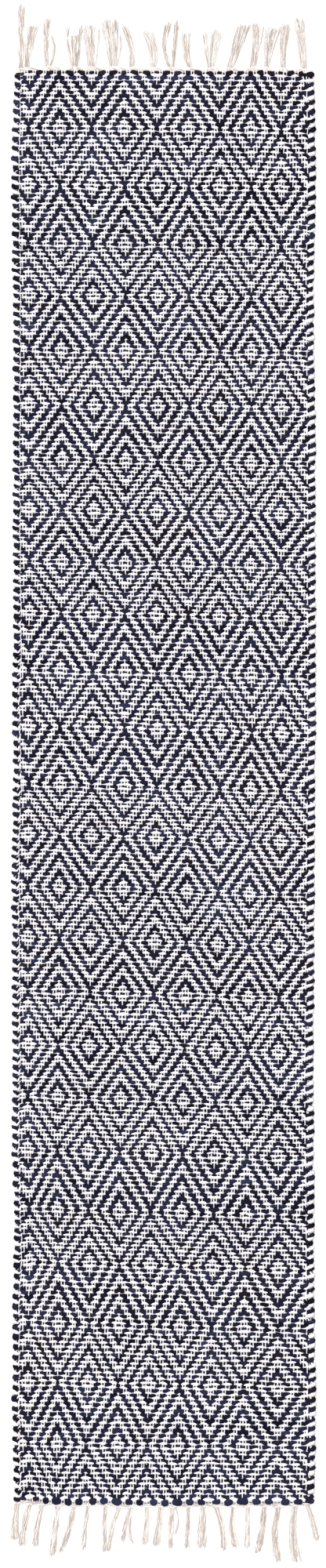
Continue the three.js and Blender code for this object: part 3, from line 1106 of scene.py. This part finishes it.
def thread_path(end, lock, number, end_x, ply):
    """One ply of a thread: out of the field's edge, across the heading, and to its tip."""
    root_x, lean, bulge, reach, spread, threads = lock
    place = number / (threads - 1) - 0.5 if threads > 1 else 0
    root = root_x + place * (threads - 1) * STRAND_PITCH
    tip = root_x + lean + place * spread + (0 if ply else chance.uniform(-TIP_STRAY, TIP_STRAY))
    way = 1 if end == "top" else -1
    depth = HEADING_DEPTH[end]
    rows = []
    for t in HEADING_RINGS:
        x = end_x + (root - end_x) * t ** 1.4 + PLY_APART * ply
        y = float(end_line(end, x)) - ROOT_INSIDE + (depth + ROOT_INSIDE) * t
        rows.append((x, way * y, ROOT_HEIGHT - ROOT_DROP * t ** 2))
    stop = THREAD_REACH - SHORT_BY[number % len(SHORT_BY)] - chance.uniform(0, REACH_STRAY)
    start = float(end_line(end, root)) + PIECE_GAP + depth
    count = max(int(reach / RING_SPACING), LEAST_RINGS)
    wander = smooth_noise(count, 3, chance) * (0.8 if ply else 1.8)
    crimp = chance.uniform(0.25, 0.6)
    turn = chance.uniform(0, 2 * math.pi)
    open_out = chance.uniform(0.5, 3.0)
    for n, t in enumerate(np.linspace(0.02, 1, count)):
        t *= stop
        free = min(1, 4 * t)
        round_by = turn + n * PLY_TURN
        off = ply * (PLY_OUT * math.cos(round_by) + open_out * max(0, t - TIP_OPENS) / TIP_SHARE)
        off += wander[n] + crimp * (-1) ** n
        x = root + (tip - root) * t + bulge * math.sin(math.pi * t) + off * free
        step_down = HEADING_STEP * max(0, 1 - 8 * t)
        z = THREAD_HEIGHT + ply * PLY_LIFT * math.sin(round_by) * free + step_down
        rows.append((x, way * (start + reach * t), z))
    return np.array(rows)


def build_fringe(end, name, material):
    yarns = Yarns(THREAD_SECTION)
    columns = end_columns(FRINGE_LINES[end])[0]
    starts = (columns - MIDDLE_PX[0]) * MM_PER_PX
    total = sum(lock[-1] for lock in LOCKS[end])
    picked = np.linspace(0, len(starts) - 1, total)
    starts = np.interp(picked, np.arange(len(starts)), starts)
    used = 0
    for lock in LOCKS[end]:
        for number in range(lock[-1]):
            for ply in (-1, 0, 1):
                path = thread_path(end, lock, number, starts[used], ply)
                count = len(path)
                half = OUTER_PLY_HALF if ply else MIDDLE_PLY_HALF
                half = half + 0.12 * smooth_noise(count, 2, chance)
                half[-1] *= 0.4
                # Some threads are darkened at random: painted shade for the shadow lines between the
                # plies.
                dark = SHADE_LINE_TONE * (chance.random() < SHADE_LINE_SHARE)
                shade = np.column_stack([
                    0.42 - dark + 0.14 * smooth_noise(count, 3, chance) + 0.06 * chance.normal(),
                    np.clip(0.25 * smooth_noise(count, 4, chance) + 0.2 * (chance.random() < 0.4), 0, 1),
                    np.zeros(count),
                ])
                place = np.arange(count) / count
                yarns.add(path, half, half, shade, np.zeros(count, int), place)
            used += 1
    add_heading_cords(end, yarns)
    return yarns.build(name, material)


def add_heading_cords(end, yarns):
    """Fine picks across the heading, side by side, which ripple over and under the warp."""
    way = 1 if end == "top" else -1
    depth = HEADING_DEPTH[end]
    cords = round(depth / CORD_SPACING)
    for n in range(cords):
        out = 1.0 + (depth - 1.6) * n / (cords - 1)
        x = np.linspace(-RUG_WIDTH / 2 + CORD_INSET, RUG_WIDTH / 2 - CORD_INSET, CORD_RINGS)
        y = way * (end_line(end, x) + out + smooth_noise(CORD_RINGS, 5, chance) * 0.25)
        z = 2.7 + 0.7 * np.sin(np.arange(CORD_RINGS) * math.pi / 1.5 + n * math.pi)
        path = np.column_stack([x, y, z])
        half = np.full(CORD_RINGS, CORD_HALF)
        shade = np.column_stack([
            0.62 + 0.12 * smooth_noise(CORD_RINGS, 3, chance),
            np.clip(0.4 * smooth_noise(CORD_RINGS, 2, chance) - 0.1, 0, 1),
            np.zeros(CORD_RINGS),
        ])
        place = np.arange(CORD_RINGS) / CORD_RINGS
        yarns.add(path, half, half, shade, np.zeros(CORD_RINGS, int), place)


fringes = {
    "fringe_top": build_fringe("top", "fringe_top_threads", CREAM),
    "fringe_bottom": build_fringe("bottom", "fringe_bottom_threads", CREAM),
}

# the frame

for piece, slot in ((ground, "woven_cotton"), *((w, "navy_cotton") for w in wefts[:2])):
    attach(piece, "root")
    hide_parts("woven_field")
for piece in (*wefts[2:], *warps):
    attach(piece, "root")
    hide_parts("woven_field")
for node, piece in fringes.items():
    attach(piece, "root")
    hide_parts(node)


# floor, light and camera

# The camera's height over the floor, the height that the photograph's scale holds at, the
# camera's sensor (mm) and its reach; the floor's size and the lights.
CAMERA_HEIGHT = 14.0
SCALE_HEIGHT = 0.006
SENSOR = 24
CAMERA_REACH = 200
FLOOR_SIZE = 60
SKY_STRENGTH = 0.86
KEY_STRENGTH = 2.0
KEY_SOFTNESS = math.radians(50)
KEY_TURN = (math.radians(-24), math.radians(-20), 0)


def build_floor():
    bpy.ops.mesh.primitive_plane_add(size=FLOOR_SIZE, location=(0, 0, 0))
    floor = bpy.context.object
    floor.name = "floor"
    material = bpy.data.materials.new("pale_floor")
    material.use_nodes = True
    nodes, links = material.node_tree.nodes, material.node_tree.links
    shader = nodes["Principled BSDF"]
    shader.inputs["Roughness"].default_value = 0.9
    shader.inputs["Specular IOR Level"].default_value = 0.1
    noise = nodes.new("ShaderNodeTexNoise")
    noise.inputs["Scale"].default_value = 3
    ramp = nodes.new("ShaderNodeValToRGB")
    ramp.color_ramp.elements[0].color = (0.9, 0.9, 0.9, 1)
    ramp.color_ramp.elements[1].color = (0.93, 0.93, 0.93, 1)
    links.new(noise.outputs["Fac"], ramp.inputs["Fac"])
    links.new(ramp.outputs["Color"], shader.inputs["Base Color"])
    floor.data.materials.append(material)


def add_lights():
    world = bpy.data.worlds.new("studio")
    bpy.context.scene.world = world
    world.use_nodes = True
    back = world.node_tree.nodes["Background"]
    back.inputs["Color"].default_value = (1, 1, 1, 1)
    back.inputs["Strength"].default_value = SKY_STRENGTH
    lamp = bpy.data.lights.new("key", "SUN")
    lamp.energy = KEY_STRENGTH
    lamp.angle = KEY_SOFTNESS
    key = bpy.data.objects.new("key", lamp)
    key.rotation_euler = KEY_TURN
    bpy.context.scene.collection.objects.link(key)


def add_camera():
    tall = FRAME_PX[1] * MM_PER_PX / 1000
    lens = bpy.data.cameras.new("camera")
    lens.sensor_fit = "VERTICAL"
    lens.sensor_height = SENSOR
    lens.lens = SENSOR * (CAMERA_HEIGHT - SCALE_HEIGHT) / tall
    lens.clip_end = CAMERA_REACH
    x, y = from_px(FRAME_PX[0] / 2, FRAME_PX[1] / 2)
    camera = bpy.data.objects.new("camera", lens)
    camera.location = ((x + SHIFT[0]) / 1000, (y + SHIFT[1]) / 1000, CAMERA_HEIGHT)
    bpy.context.scene.collection.objects.link(camera)
    bpy.context.scene.camera = camera


build_floor()
add_lights()
add_camera()
bpy.context.scene.view_settings.view_transform = "Standard"
